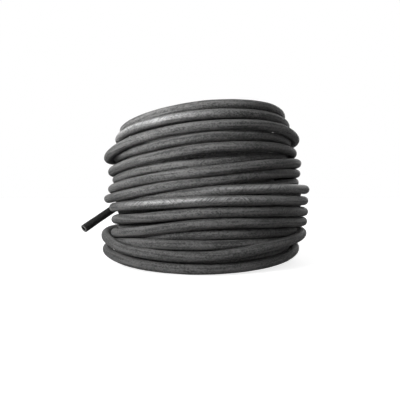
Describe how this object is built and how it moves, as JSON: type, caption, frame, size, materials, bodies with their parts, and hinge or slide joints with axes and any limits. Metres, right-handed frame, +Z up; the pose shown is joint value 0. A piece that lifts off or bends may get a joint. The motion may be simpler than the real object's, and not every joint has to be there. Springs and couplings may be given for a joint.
{
  "type": "soaker hose coil",
  "caption": "Porous rubber soaker hose wound in a free-standing coil with an open eye, one bored cut end standing out at the side.",
  "frame": {"origin": "middle of the coil's box, free end included, on the plane that the coil stands on", "axes": "+Z up along the coil's axis; -Y is the side seen from the front, with the free end at -X"},
  "size_m": [0.4574, 0.3984, 0.2813],
  "materials": {
    "porous_rubber": "matte granular crumb rubber, dark grey to black"
  },
  "bodies": {
    "root": {"outer_layer": "porous_rubber", "middle_layer": "porous_rubber", "inner_layer": "porous_rubber", "free_end": "porous_rubber", "inner_end": "porous_rubber"}
  },
  "joints": []
}
